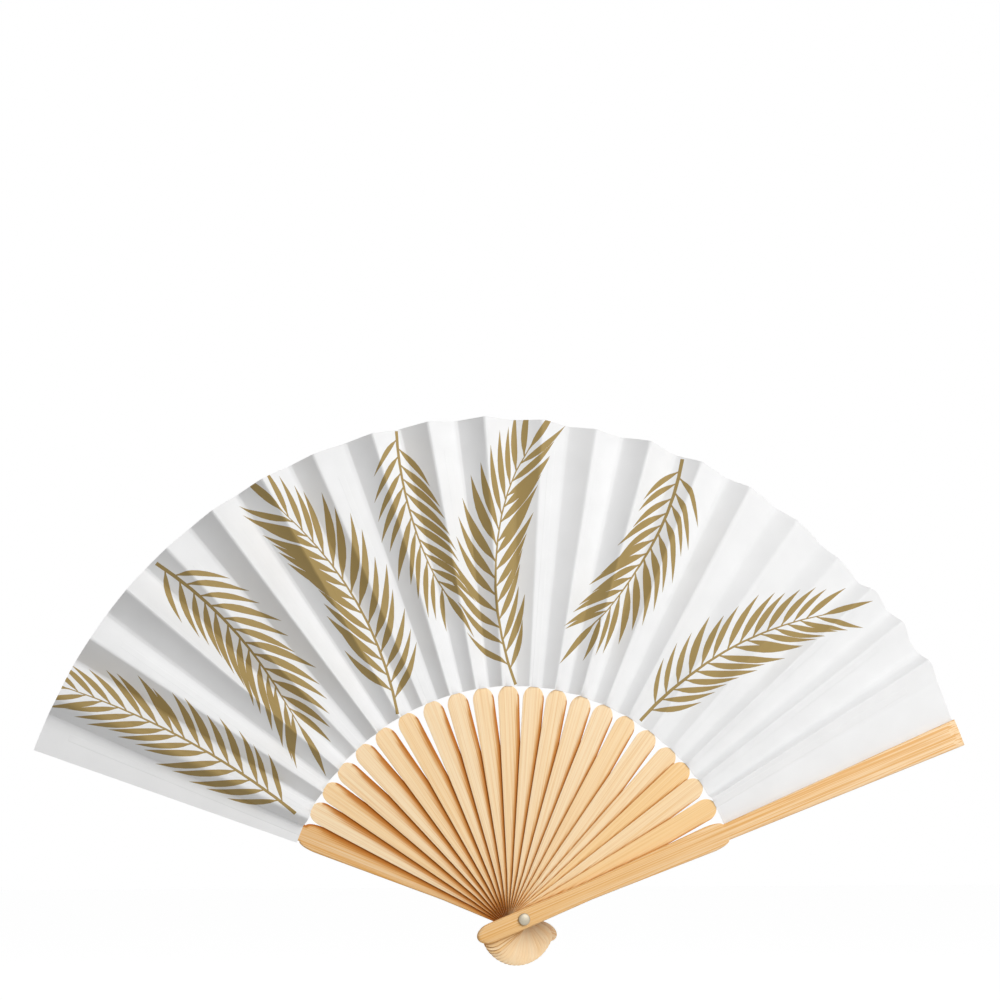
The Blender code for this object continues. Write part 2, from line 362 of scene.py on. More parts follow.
def bored(mesh):
    """The same stick with the rivet's bore cut through it."""
    shape = bmesh.new()
    radius = PIN_RADIUS + PIN_CLEARANCE
    bmesh.ops.create_cone(
        shape, cap_ends=True, segments=BORE_STEPS, radius1=radius, radius2=radius,
        depth=STACK_DEPTH,
    )
    bmesh.ops.rotate(shape, verts=shape.verts, matrix=Matrix.Rotation(math.pi / 2, 3, "X"))
    cutter = bpy.data.objects.new("rivet_bore", finished(shape, "rivet_bore"))
    blank = bpy.data.objects.new("blank", mesh)
    for used in (cutter, blank):
        bpy.context.scene.collection.objects.link(used)
    cut = blank.modifiers.new("rivet bore", "BOOLEAN")
    cut.operation, cut.solver, cut.object = "DIFFERENCE", "EXACT", cutter
    depsgraph = bpy.context.evaluated_depsgraph_get()
    result = bpy.data.meshes.new_from_object(blank.evaluated_get(depsgraph))
    for used in (cutter, blank):
        used_mesh = used.data
        bpy.data.objects.remove(used)
        bpy.data.meshes.remove(used_mesh)
    result.shade_smooth()
    result.set_sharp_from_angle(angle=SHARP_STICK_EDGE)
    return result


def turned_place(index, other, x, z):
    """A point of one stick's plane in the axes of another stick."""
    turn = stick_angle(index) - stick_angle(other)
    return x * math.cos(turn) - z * math.sin(turn), x * math.sin(turn) + z * math.cos(turn)


# Toast and painted shadow, the brown on the side of a stick that slides under the next one: toast
# along its own edge, and painted shadow beside the next stick's edge. Lengths are in metres, and
# sticks go by their number. A share of it is 0 where it is deepest and 1 or more where the bamboo
# is bare.
NO_TOAST_AND_SHADE = 2.0
TOAST_AND_SHADE_WIDTH = 0.0017
TOAST_AND_SHADE_BROADER = 0.00245  # by how much, at the rear
BROADER_STICKS = (17, 2)  # where it starts to broaden, and where it is broadest
TOAST_AND_SHADE_FAINTER = 0.35  # share that it lacks on the last rib
TOAST_AND_SHADE_AT_RIVET = 0.42  # share of its width there
TOAST_AND_SHADE_FULL_REACH = 0.075
TOAST_AND_SHADE_AT_TOP = 0.4  # share of its width at a rib's top
TOAST_AND_SHADE_TOP_RUN = 0.012
TOAST_AND_SHADE_TOP_BARE = 0.7  # share of a rib's rounded top that has none
TOAST_AND_SHADE_HEAD_RUN = 0.004
# The painted shade around the rivet: its radius, how it fades past that and over the sticks, and how
# it ends along the front guard
RIVET_DARK = 0.006
RIVET_DARK_RUN = 0.009
RIVET_DARK_STICK = 8
RIVET_DARK_STICKS = 4
RIVET_DARK_ABOVE = 0.001
RIVET_DARK_EDGE = 0.002
# The painted shade line where two heads meet, and the toasted line along the edge of a rib's back
HEAD_LINE = 0.0011
HEAD_LINE_SHARE = 0.3
HEAD_LINE_FAINTER = 0.45
FAINTER_HEADS = (18, 14)  # stick where it starts to be fainter, and where it is faintest
BACK_LINE = 0.0013

# Tones, from 0 for the palest bamboo to 1 for the warmest
WARM_RIBS = (18, 20)
OTHER_RIBS_TONE = 0.5  # at most
FRONT_GUARD_FADE = 1.3 * GUARD_REACH
# Over this run the rear guard is painted paler towards its head's end: painted light against the shade
# that falls on it
REAR_HEAD_FADE = 0.012
GRAIN_STEP = 0.731  # shift of the grain from stick to stick


def toast_and_shade_share(index, lower, next_edge, x, z):
    """Share of toast from a stick's lower edge, and of painted shade from the next stick, the rivet
    and the heads.
    """
    away, head_share = edge_distance(lower, x, z), 1.0
    # Painted shadow beside the edge of the next stick, which lies over this one
    over_x, over_z = turned_place(index, index + 1, x, z)
    reach = half_width(next_edge, over_x)
    if reach > 0 and 0 < over_x < BLADE_REACH:
        away = min(away, max(0.0, over_z - reach))
    # Painted shade line where this head meets the next one
    if reach > 0 and over_x < 0:
        head_share = HEAD_LINE_SHARE + HEAD_LINE_FAINTER * ramp(index, *FAINTER_HEADS)
        head_share += past(-over_z, reach, HEAD_LINE)
    width = TOAST_AND_SHADE_WIDTH + TOAST_AND_SHADE_BROADER * ramp(index, *BROADER_STICKS)
    width *= TOAST_AND_SHADE_AT_RIVET + (1 - TOAST_AND_SHADE_AT_RIVET) * ramp(x, 0, TOAST_AND_SHADE_FULL_REACH)
    width *= max(TOAST_AND_SHADE_AT_TOP, ramp(x, BLADE_REACH, BLADE_REACH - TOAST_AND_SHADE_TOP_RUN))
    share = away / width + TOAST_AND_SHADE_FAINTER * (index / RIB_COUNT) ** 2
    share += past(-x, 0, TOAST_AND_SHADE_HEAD_RUN)
    # Painted shade around the rivet on the rear sticks, ending along the front guard
    rivet_share = past(index, RIVET_DARK_STICK, RIVET_DARK_STICKS)
    rivet_share += past(math.hypot(x, z), RIVET_DARK, RIVET_DARK_RUN)
    above = turned_place(index, LAST, x, z)[1]
    rivet_share += past(-above, -RIVET_DARK_ABOVE, RIVET_DARK_EDGE)
    return min(share, head_share, rivet_share)


def mark_stick(mesh, index, edge, next_edge):
    """Tell the bamboo material a stick's tone, and how far its points are from toast and painted
    shade.

    The brown is toast along the stick's own lower edge and painted shadow beside the edge of the
    next stick, which lies over it. It is browner and broader on the rear sticks and narrows towards
    the rivet and the top. Painted shade darkens the rear sticks around the rivet and draws a thin
    line where two heads meet. A rib's back is toasted only along its edge, and the front guard and
    the outer side of the rear guard aren't. The front guard is paler towards its tip, and the rear
    guard at its head, which is painted light against the shade that falls there.
    """
    top = BLADE_REACH - TOAST_AND_SHADE_TOP_BARE * RIB_TOP_ROUND
    lower = [(x, -z) for x, z in divided(edge) if x < top or index == 0]
    shares = []
    for vertex in mesh.vertices:
        x, y, z = vertex.co
        if index == LAST or (index == 0 and y > 0):
            shares.append(NO_TOAST_AND_SHADE)
        elif y > 0:
            shares.append(edge_distance(lower, x, z) / BACK_LINE)
        else:
            shares.append(toast_and_shade_share(index, lower, next_edge, x, z))
    along = [vertex.co.x for vertex in mesh.vertices]
    if index == LAST:
        tones = [1.0 - past(x, 0, FRONT_GUARD_FADE) for x in along]
    elif index == 0:
        # Painted light: paler towards the head, against the shade there
        tones = [ramp(x, -REAR_HEAD_FADE, 0) for x in along]
    else:
        paler = random.Random(index).uniform(0.0, OTHER_RIBS_TONE)
        tones = [1.0 if index in WARM_RIBS else paler] * len(along)
    seeds = [index * GRAIN_STEP] * len(along)
    for name, values in (("toast_and_shade_share", shares), ("stick_seed", seeds), ("stick_tone", tones)):
        mesh.attributes.new(name, "FLOAT", "POINT").data.foreach_set("value", values)


def add_piece(name, mesh, materials):
    """Put a mesh in the scene as a piece of the fan."""
    for material in materials:
        mesh.materials.append(material)
    piece = bpy.data.objects.new(name, mesh)
    bpy.context.scene.collection.objects.link(piece)
    return piece


# Materials


# Names of the inputs of a Map Range node, for its value, its limits and what they become
RANGE = ("Value", "From Min", "From Max", "To Min", "To Max")

# Sizes of the patterns in millimetres, and their noise's detail. The streaks' width is the
# stick's own. The paper's tooth and the nickel's scratches are finer on the real fan, a tenth of
# a millimetre and less, and are drawn as coarse as they need to show.
FIBRES = (45.0, 0.34, 2.0)
STREAKS = (90.0, 1.0)
CLOUDS = (60.0, 5.0, 1.0)
PAPER_TOOTH = (0.9, 3.0)
PAPER_CLOUDS = (14.0, 2.0)
SCRATCHES = (0.25, 4.0)
SLIP_MARK_MM = (1.15, 1.5)  # from the middle of a slip to where its mark starts to fall and ends


def add(tree, kind, inputs=None, **settings):
    """Add a node, with its settings, its input values and its links.

    An input that is given as a node is linked to that node's first output.
    """
    made = tree.nodes.new(kind)
    for name, value in settings.items():
        setattr(made, name, value)
    for name, value in (inputs or {}).items():
        if isinstance(value, bpy.types.Node):
            value = value.outputs[0]
        if isinstance(value, bpy.types.NodeSocket):
            tree.links.new(value, made.inputs[name])
        else:
            made.inputs[name].default_value = value
    return made


def new_material(name):
    """An empty node material and its tree."""
    material = bpy.data.materials.new(name)
    material.use_nodes = True
    material.node_tree.nodes.clear()
    return material, material.node_tree


def bamboo(name, tones, streak_mm, streak_share, roughness):
    """Split bamboo, scraped flat and left bare: a hard satin surface of straight fibres.

    The eye sees long fibres a few tenths of a millimetre apart, broader streaks, a different
    tone on each stick, and a brown on the side that slides under the next stick, partly toast and
    partly painted shadow of that stick.
    """
    pale, warm, streak, honey_and_shade, toast_and_shade = ((*tone, 1.0) for tone in tones)
    material, tree = new_material(name)
    seed, own_tone, away = (
        add(tree, "ShaderNodeAttribute", attribute_name=attribute).outputs["Fac"]
        for attribute in ("stick_seed", "stick_tone", "toast_and_shade_share")
    )
    place = add(tree, "ShaderNodeTexCoord").outputs["Object"]
    shift = add(tree, "ShaderNodeCombineXYZ", {"X": seed, "Z": seed})
    moved = add(tree, "ShaderNodeVectorMath", {0: place, 1: shift}, operation="ADD")
    grains = []
    for length, width, detail in (FIBRES, (STREAKS[0], streak_mm, STREAKS[1]), CLOUDS):
        scale = [1 / (size * MM) for size in (length, width, width)]
        stretched = add(tree, "ShaderNodeVectorMath", {0: moved, 1: scale}, operation="MULTIPLY")
        noise = {"Vector": stretched, "Scale": 1.0, "Detail": detail}
        grains.append(add(tree, "ShaderNodeTexNoise", noise))
    fibres, streaks, clouds = grains
    smooth = {"interpolation_type": "SMOOTHSTEP"}
    ragged = add(
        tree, "ShaderNodeMapRange", dict(zip(RANGE, (fibres, 0.3, 0.7, 1.15, 0.85))), **smooth
    )
    toasted_and_shaded = add(tree, "ShaderNodeMath", {0: away, 1: ragged}, operation="MULTIPLY")
    # Layers of colour: a pattern, two of its values, the layer's strength at each, and its shade
    layers = (
        (clouds, 0.35, 0.7, 0.0, 0.2, warm),
        (streaks, 0.50, 0.62, 0.0, streak_share, streak),
        (streaks, 0.34, 0.46, 0.6 * streak_share, 0.0, pale),
        (fibres, 0.50, 0.66, 0.0, 0.8 * streak_share, streak),
        # The last two layers: toast along the edge, and painted shadow of the next stick
        (toasted_and_shaded, 0.3, 1.1, 0.9, 0.0, honey_and_shade),
        (toasted_and_shaded, 0.1, 0.8, 1.0, 0.0, toast_and_shade),
    )
    colour = add(tree, "ShaderNodeMix", {0: own_tone, 6: pale, 7: warm}, data_type="RGBA")
    for *limits, shade in layers:
        strength = add(tree, "ShaderNodeMapRange", dict(zip(RANGE, limits)), **smooth)
        mix = {0: strength, 6: colour.outputs[2], 7: shade}
        colour = add(tree, "ShaderNodeMix", mix, data_type="RGBA")
    relief = add(
        tree, "ShaderNodeBump", {"Height": fibres, "Strength": 0.35, "Distance": 0.04 * MM}
    )
    sheen = add(
        tree, "ShaderNodeMapRange",
        dict(zip(RANGE, (streaks, 0.3, 0.7, roughness - 0.06, roughness + 0.06))), **smooth,
    )
    shader = add(
        tree, "ShaderNodeBsdfPrincipled",
        {"Base Color": colour.outputs[2], "Roughness": sheen, "Normal": relief,
         "Specular IOR Level": 0.12},
    )
    add(tree, "ShaderNodeOutputMaterial", {"Surface": shader})
    return material


def printed_paper(name, tone, roughness):
    """Coated paper, or the ink on it: matt, with a faint tooth and the slips' marks pressed through.

    The eye sees an even colour, a fine tooth where light grazes it, and the edges of the slip
    that is glued behind each pleat.
    """
    material, tree = new_material(name)
    place = add(tree, "ShaderNodeTexCoord").outputs["Object"]
    tooth, cloud = (
        add(tree, "ShaderNodeTexNoise", {"Vector": place, "Scale": 1 / (size * MM), "Detail": detail})
        for size, detail in (PAPER_TOOTH, PAPER_CLOUDS)
    )
    flat = add(tree, "ShaderNodeUVMap", uv_map="leaf_mm")
    axes = add(tree, "ShaderNodeSeparateXYZ", {0: flat}).outputs
    across = add(tree, "ShaderNodeMath", {0: axes[0]}, operation="ABSOLUTE")
    slip = add(
        tree, "ShaderNodeMapRange", dict(zip(RANGE, (across, *SLIP_MARK_MM, 1.0, 0.0))),
        interpolation_type="SMOOTHSTEP",
    )
    under = add(tree, "ShaderNodeMath", {0: axes[1], 1: SLIP_REACH / MM}, operation="LESS_THAN")
    mark = add(tree, "ShaderNodeMath", {0: slip, 1: under}, operation="MULTIPLY")
    rough = add(
        tree, "ShaderNodeBump", {"Height": tooth, "Strength": 0.25, "Distance": 0.03 * MM}
    )
    relief = add(
        tree, "ShaderNodeBump",
        {"Height": mark, "Strength": 0.6, "Distance": 0.12 * MM, "Normal": rough},
    )
    shade = add(tree, "ShaderNodeMapRange", dict(zip(RANGE, (cloud, 0.3, 0.7, 0.965, 1.0))))
    colour = add(tree, "ShaderNodeVectorMath", {0: tone, "Scale": shade}, operation="SCALE")
    shader = add(
        tree, "ShaderNodeBsdfPrincipled",
        {"Base Color": colour, "Roughness": roughness, "Normal": relief,
         "Specular IOR Level": 0.3},
    )
    add(tree, "ShaderNodeOutputMaterial", {"Surface": shader})
    return material


def tumbled_nickel(name, tone):
    """Nickel-plated steel, tumbled: a grey metal with a soft highlight and fine random scratches."""
    material, tree = new_material(name)
    place = add(tree, "ShaderNodeTexCoord").outputs["Object"]
    size, detail = SCRATCHES
    scratch = add(
        tree, "ShaderNodeTexNoise", {"Vector": place, "Scale": 1 / (size * MM), "Detail": detail}
    )
    rough = add(tree, "ShaderNodeMapRange", dict(zip(RANGE, (scratch, 0.3, 0.7, 0.52, 0.64))))
    relief = add(
        tree, "ShaderNodeBump", {"Height": scratch, "Strength": 0.3, "Distance": 0.01 * MM}
    )
    shader = add(
        tree, "ShaderNodeBsdfPrincipled",
        {"Base Color": (*tone, 1.0), "Metallic": 1.0, "Roughness": rough, "Normal": relief},
    )
    add(tree, "ShaderNodeOutputMaterial", {"Surface": shader})
    return material


# Guards and ribs

# Where a stick's lines of points run along it, as shares of half its width
GUARD_COLUMNS = (
    -1, -0.975, -0.93, -0.87, -0.78, -0.6, -0.3, 0, 0.3, 0.6, 0.78, 0.87, 0.93, 0.975, 1,
)
RIB_COLUMNS = (-1, -0.95, -0.88, -0.76, -0.6, -0.4, -0.2, 0, 0.2, 0.4, 0.6, 0.76, 0.88, 0.95, 1)


def rounded_drop(depth, width, crown):
    """How far a guard's side falls towards its edge: a rounded arris and a slight crown."""

    def drop(away, column):
        share = ramp(away, width, 0)
        return depth * (1 - math.sqrt(1 - share * share)) + crown * column * column

    return drop


def worn_drop(depth, width):
    """How far a rib's side falls towards its edge: a worn arris."""

    def drop(away, column):
        return depth * ramp(away, width, 0) ** 2

    return drop


class FAN_OT_guards(bpy.types.Operator):
    """Make the two thick outer sticks, with rounded edges and bare bamboo skin"""

    bl_idname = "fan.guards"
    bl_label = "Guards"

    def execute(self, context):
        sizes, colours = context.scene.fan_sizes, context.scene.fan_colours
        skin = rounded_drop(sizes.guard_edge_drop, sizes.guard_bevel, sizes.guard_crown)
        inner = rounded_drop(sizes.guard_edge_drop / 2, sizes.guard_bevel / 2, 0.0)
        for index in (0, LAST):
            edge = guard_edge(index)
            front, back = (inner, skin) if index == 0 else (skin, inner)
            mesh = bored(
                stick_mesh("guard", edge, GUARD_THICKNESS, GUARD_COLUMNS, front, back)
            )
            mark_stick(mesh, index, edge, rib_edge() if index == 0 else None)
            tone = colours.rear_guard if index == 0 else colours.guard
            material = bamboo(
                f"bamboo_skin_{stick_body(index)}",
                (colours.guard_pale, tone, colours.guard_streak, colours.honey_and_shade, colours.toast_and_shade),
                streak_mm=0.6, streak_share=0.7, roughness=0.5,
            )
            place_stick(f"{stick_body(index)}_bamboo", mesh, index, material)
        return {"FINISHED"}


class FAN_OT_ribs(bpy.types.Operator):
    """Make the thin sticks, each with its own grain and tone and a side with toast and painted shadow
    """

    bl_idname = "fan.ribs"
    bl_label = "Ribs"

    def execute(self, context):
        sizes, colours = context.scene.fan_sizes, context.scene.fan_colours
        edge = rib_edge()
        worn = worn_drop(sizes.rib_edge_drop, sizes.rib_bevel)
        back = worn_drop(sizes.rib_edge_drop / 3, sizes.rib_bevel / 2)
        blank = bored(stick_mesh("rib", edge, RIB_THICKNESS, RIB_COLUMNS, worn, back))
        material = bamboo(
            "bamboo_split",
            (colours.rib_pale, colours.rib_warm, colours.rib_streak, colours.honey_and_shade, colours.toast_and_shade),
            streak_mm=0.9, streak_share=0.27, roughness=0.55,
        )
        for index in range(1, LAST):
            mesh = blank.copy()
            mark_stick(mesh, index, edge, guard_edge(LAST) if index == RIB_COUNT else edge)
            place_stick(f"{stick_body(index)}_bamboo", mesh, index, material)
        bpy.data.meshes.remove(blank)
        return {"FINISHED"}


def place_stick(name, mesh, index, material):
    """Seat a stick on its body, in place of its CAD node."""
    piece = add_piece(name, mesh, [material])
    piece.matrix_world = stick_matrix(index)
    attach(piece, stick_body(index))
    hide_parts(stick_body(index))


# The print: sprigs of slender leaves, in the plane of the fan

# Shape of a sprig, in millimetres, degrees, and shares of its stem's or of a leaf's length
STEM_STEPS = 60
STEM_STRIDE = 6  # steps from one point of the stem's outline to the next
STEM_HALF_WIDTH = 0.7
STEM_TAPER = 0.7  # share of its width that it loses
FIRST_LEAF = 0.06
LEAVES_RUN = 0.90
LEAF_STRAY = 0.08  # of the distance to the next leaf
END_LEAF_SIZE = 0.72
MIDDLE_LEAF_MORE = 0.28
LEAF_SIZES = (0.9, 1.08)
FOOT_LEAF_TURN = 46
TIP_LEAF_LESS = 18
TURN_STRAY = 3
TIP_LEAF_SIZE = 0.85
TIP_LEAF_STRAY = 8
LEAF_HALF_WIDTH = 0.052
LEAF_TURN_AT_ROOT = 1.1
LEAF_CURL = 0.55
LEAF_SHAPE = (  # share of its length, share of its half width
    (0.0, 0.2), (0.08, 0.3), (0.18, 0.72), (0.3, 0.95), (0.42, 1.0),
    (0.56, 0.9), (0.7, 0.66), (0.82, 0.4), (0.92, 0.18),
)

# angle, radius, lean, bend, length, leaf length, number of leaves
SPRIGS = (
    (155, 101, -14, 22, 104, 26, 29),
    (136, 207, 190, -28, 88, 29, 25),
    (121, 97, -22, 44, 98, 31, 27),
    (104, 208, 168, 30, 72, 26, 21),
    (90, 96, 24, -56, 104, 31, 28),
    (69, 208, 188, -34, 84, 28, 24),
    (57, 97, -10, -36, 96, 28, 27),
)


def sprig(angle, radius, lean, bend, length, leaf, count, seed):
    """Outlines of one sprig: its stem, leaves by turns on each side of it, and one at its tip.

    It starts at an angle and a radius from the rivet, leans from the radial direction and bends
    on its way. Degrees and millimetres.
    """
    chance = random.Random(seed)
    x, z = radius * math.cos(math.radians(angle)), radius * math.sin(math.radians(angle))
    line, left, right = [], [], []
    for step in range(STEM_STEPS + 1):
        heading = math.radians(angle + lean + bend * step / STEM_STEPS)
        half = STEM_HALF_WIDTH * (1 - STEM_TAPER * step / STEM_STEPS)
        line.append((x, z, heading))
        left.append(offset_point(line[-1], half))
        right.append(offset_point(line[-1], -half))
        x += length / STEM_STEPS * math.cos(heading)
        z += length / STEM_STEPS * math.sin(heading)
    outlines = [right[::STEM_STRIDE] + left[::-STEM_STRIDE]]
    for number in range(count):
        stray = chance.uniform(-LEAF_STRAY, LEAF_STRAY)
        share = FIRST_LEAF + LEAVES_RUN * (number + stray) / (count - 1)
        root = line[min(STEM_STEPS, max(0, round(share * STEM_STEPS)))]
        size = END_LEAF_SIZE + MIDDLE_LEAF_MORE * math.sin(math.pi * share)
        reach = leaf * size * chance.uniform(*LEAF_SIZES)
        turn = FOOT_LEAF_TURN - TIP_LEAF_LESS * share + chance.uniform(-TURN_STRAY, TURN_STRAY)
        outlines.append(leaf_outline(root, math.radians(turn if number % 2 else -turn), reach))
    stray = math.radians(chance.uniform(-TIP_LEAF_STRAY, TIP_LEAF_STRAY))
    outlines.append(leaf_outline(line[-1], stray, leaf * TIP_LEAF_SIZE))
    return outlines


def offset_point(point, offset):
    """A point beside a line, to its left by that much."""
    x, z, heading = point
    return (x - offset * math.sin(heading), z + offset * math.cos(heading))


def leaf_outline(root, turn, reach):
    """A lance-shaped leaf that leaves its stem at an angle and curls towards the stem's direction."""
    x, z, heading = root
    upper, lower = [], []
    last = 0.0
    for share, wide in LEAF_SHAPE:
        turned = heading + turn * (LEAF_TURN_AT_ROOT - LEAF_CURL * share)
        x += (share - last) * reach * math.cos(turned)
        z += (share - last) * reach * math.sin(turned)
        last = share
        half = LEAF_HALF_WIDTH * reach * wide
        upper.append(offset_point((x, z, turned), half))
        lower.append(offset_point((x, z, turned), -half))
    tip = (x + (1 - last) * reach * math.cos(turned), z + (1 - last) * reach * math.sin(turned))
    return lower + [tip] + upper[::-1]


def print_outlines():
    """Every outline of the print, anticlockwise, in millimetres."""
    outlines = []
    for seed, numbers in enumerate(SPRIGS):
        for outline in sprig(*numbers, seed):
            area = sum(
                x0 * z1 - x1 * z0
                for (x0, z0), (x1, z1) in zip(outline, outline[1:] + outline[:1])
            )
            outlines.append(outline if area > 0 else outline[::-1])
    return outlines


# The leaf

# Where a hand folded the paper: degrees from the rear guard of the crest before each rib and of the
# valley after it, and the share of the full tilt that the paper on that rib keeps
CREST_DEGREES = (
    4.6, 10.9, 17.5, 24.1, 30.5, 37.3, 43.9, 51.0, 57.7, 64.4,
    71.5, 77.9, 84.6, 91.3, 97.9, 104.8, 111.4, 116.7, 122.0, 127.4,
)
VALLEY_DEGREES = (
    8.1, 14.4, 21.1, 27.6, 34.3, 41.2, 48.0, 54.6, 61.4, 68.4,
    74.7, 81.5, 88.3, 95.0, 101.7, 108.5, 114.5, 120.0, 125.9, 130.2,
)
TILT_SHARES = (
    1.55, 1.70, 2.10, 0.70, 1.85, 1.20, 0.60, 1.35, 1.20, 1.25,
    0.50, 1.15, 1.35, 0.95, 0.70, 0.40, 0.50, 0.80, 0.55, 0.40,
)

# How far past its own reach the leaf's uneven edge stands: degrees from the rear guard, millimetres
RIM = (
    (0, -1.3), (20, 0.0), (72, 0.1), (75, -1.0), (79, -0.9), (83, 0.2), (100, 0.9),
    (107, 0.6), (110, -0.3), (113.5, 0.1), (115.5, -0.6), (117.5, 2.3), (119.5, 1.9),
    (122.5, 3.2), (124.5, 1.3), (128, 3.4), (130.5, 2.1), (134, 0.8), (140, 0.0),
)
# The first flat's edge hangs a little past the rear guard
LOOSE_HEM = math.radians(0.6)

# How a flat bends across its width: the shares in which it eases in and out, and its belly. The
# flats between two sticks have a shape of their own beside the guards, and the others go from
# the steep one to the soft one
PLEAT_EASE = 0.05
BENDS_AFTER = {0: (0.06, 0.2, 0.62), 1: (0.1, 0.1, 0.02), RIB_COUNT: (0.02, 0.02, 0.0)}
STEEP_BEND = (0.1, 0.06, -0.06)
SOFTER_BY = (0.4, 0.04)
SOFTER_STICKS = (9, 19)

# Waves of the ripple: metres of radius for a radian, radians for a radian of angle, start, share
WAVES = ((0.0071, 11, 0.0, 0.6), (0.0113, -17, 1.3, 0.4))
RIPPLE_FADE = 4 * HALF_PANEL

# A place in the print's millimetres that is too far from a slip to be marked by it
UNMARKED_MM = 50.0
# Cut the print into triangles inside its outlines, with points nearer than this as one
TRIANGLES_INSIDE = 1
CUT_WELD_MM = 1e-4


def leaf_angle(degrees):
    """Angle from +X of a place given in degrees from the rear guard."""
    return stick_angle(0) - math.radians(degrees)


def rim(angle):
    """Radius of the leaf's outer edge."""
    degrees = math.degrees(stick_angle(0) - angle)
    beyond = RIM[0][1]
    for (low, before), (high, after) in zip(RIM, RIM[1:]):
        if degrees > low:
            beyond = before + (after - before) * ramp(degrees, low, high)
    return LEAF_REACH + beyond * MM


def fold(index, angle):
    """Angle, depth and rise per metre of a fold beside a rib, where its paper clears the slip."""
    slope = TILT_SHARES[index - 1] * math.tan(PANEL_TILT)
    width = math.radians(VALLEY_DEGREES[index - 1] - CREST_DEGREES[index - 1])
    depth = stick_depth(index) + RIB_THICKNESS / 2 + PAPER_OVER_SLIP + SLIP_ROOT_WIDTH / 2 * slope
    return angle, depth, slope * (math.sin(angle - stick_angle(index)) + PLEAT_SAG * width)


def crest(index):
    """The fold on the anticlockwise side of a stick, which lies nearer the viewer."""
    if index == 0:
        angle = stick_angle(0) + HALF_PANEL + LEAF_HEM / LEAF_REACH + LOOSE_HEM
        return angle, stick_depth(0) + LEAF_OVER_GUARD, 0.0
    if index == LAST:
        behind = RIB_THICKNESS / 2 + RUNNING_GAP - SEATED_PAPER
        return stick_angle(LAST) + HALF_PANEL, stick_depth(RIB_COUNT) + behind, 0.0
    return fold(index, leaf_angle(CREST_DEGREES[index - 1]))


def valley(index):
    """The fold on its clockwise side, which lies away from the viewer."""
    if index in (0, LAST):
        return stick_angle(index) - HALF_PANEL, crest(index)[1], 0.0
    return fold(index, leaf_angle(VALLEY_DEGREES[index - 1]))


def between_curve(index):
    """How the paper bends after a stick: how much of it eases in and out, and its belly.

    Its first flat is steepest beside the rear guard, the others are steepest under their crests, and
    towards the front guard they bend more softly.
    """
    if index in BENDS_AFTER:
        return BENDS_AFTER[index]
    start, end, belly = STEEP_BEND
    soft = ramp(index, *SOFTER_STICKS)
    return start + SOFTER_BY[0] * soft * soft, end + SOFTER_BY[1] * soft, belly


def eased(share, start, end):
    """A ramp from 0 to 1 that is level at both ends, over these shares of its length."""
    slope = 1 / (1 - (start + end) / 2)
    if share < start:
        return slope * share * share / (2 * start)
    late = max(0.0, share - (1 - end))
    return slope * (share - start / 2 - (late * late / (2 * end) if late else 0.0))


def ripple(radius, angle, height):
    """Slow waves in the paper, which fade out where it is glued to a guard."""
    waves = sum(
        share * math.sin(radius / run + skew * angle + start) for run, skew, start, share in WAVES
    )
    fade = ramp(valley(0)[0] - angle, 0, RIPPLE_FADE) * ramp(angle - crest(LAST)[0], 0, RIPPLE_FADE)
    return height * fade * waves


def pressed(depth, radius, angle, index):
    """Depth of the paper, with its inner edge glued down to the top of a rib."""
    if not 0 < index < LAST:
        return depth
    inside = max(0.0, 1 - (radius - BLADE_REACH + LEAF_LAP) / PRESSED_REACH)
    beside = abs(radius * (angle - stick_angle(index))) - SLIP_ROOT_WIDTH / 2
    share = inside * inside * ramp(beside, PRESSED_EASE, 0)
    face = stick_depth(index) + RIB_THICKNESS / 2 + PAPER_OVER_SLIP
    return depth - share * max(0.0, depth - face)


class Pleat:
    """One flat of the leaf between two folds, as a surface over radius and angle.

    Its stick is the one it is glued to or, between two sticks, the next one.
    """

    def __init__(self, left, right, stick, glued, curve, ripple_height):
        self.left, self.right, self.stick, self.glued = left, right, stick, glued
        self.curve, self.ripple_height = curve, ripple_height

    def depth(self, radius, angle):
        """Depth of the middle of the paper."""
        share = ramp(angle, self.left[0], self.right[0])
        start, end, belly = self.curve
        across = eased(share, start, end) + belly * math.sin(math.pi * share)
        near, far = (line[1] + line[2] * radius for line in (self.left, self.right))
        depth = near + (far - near) * across + ripple(radius, angle, self.ripple_height)
        return pressed(depth, radius, angle, self.stick)

    def point(self, radius, angle):
        """Place of a point of the paper's middle."""
        return Vector((
            radius * math.cos(angle), -self.depth(radius, angle), radius * math.sin(angle)
        ))

    def normal(self, radius, angle):
        """Direction in which the printed side faces there."""
        step, turn = 0.2 * MM, math.radians(0.02)
        inner = self.point(radius - step, angle)
        outer = self.point(radius + step, angle)
        low, high = max(angle - turn, self.right[0]), min(angle + turn, self.left[0])
        facing = (outer - inner).cross(self.point(radius, high) - self.point(radius, low))
        return facing.normalized() if facing.y < 0 else -facing.normalized()


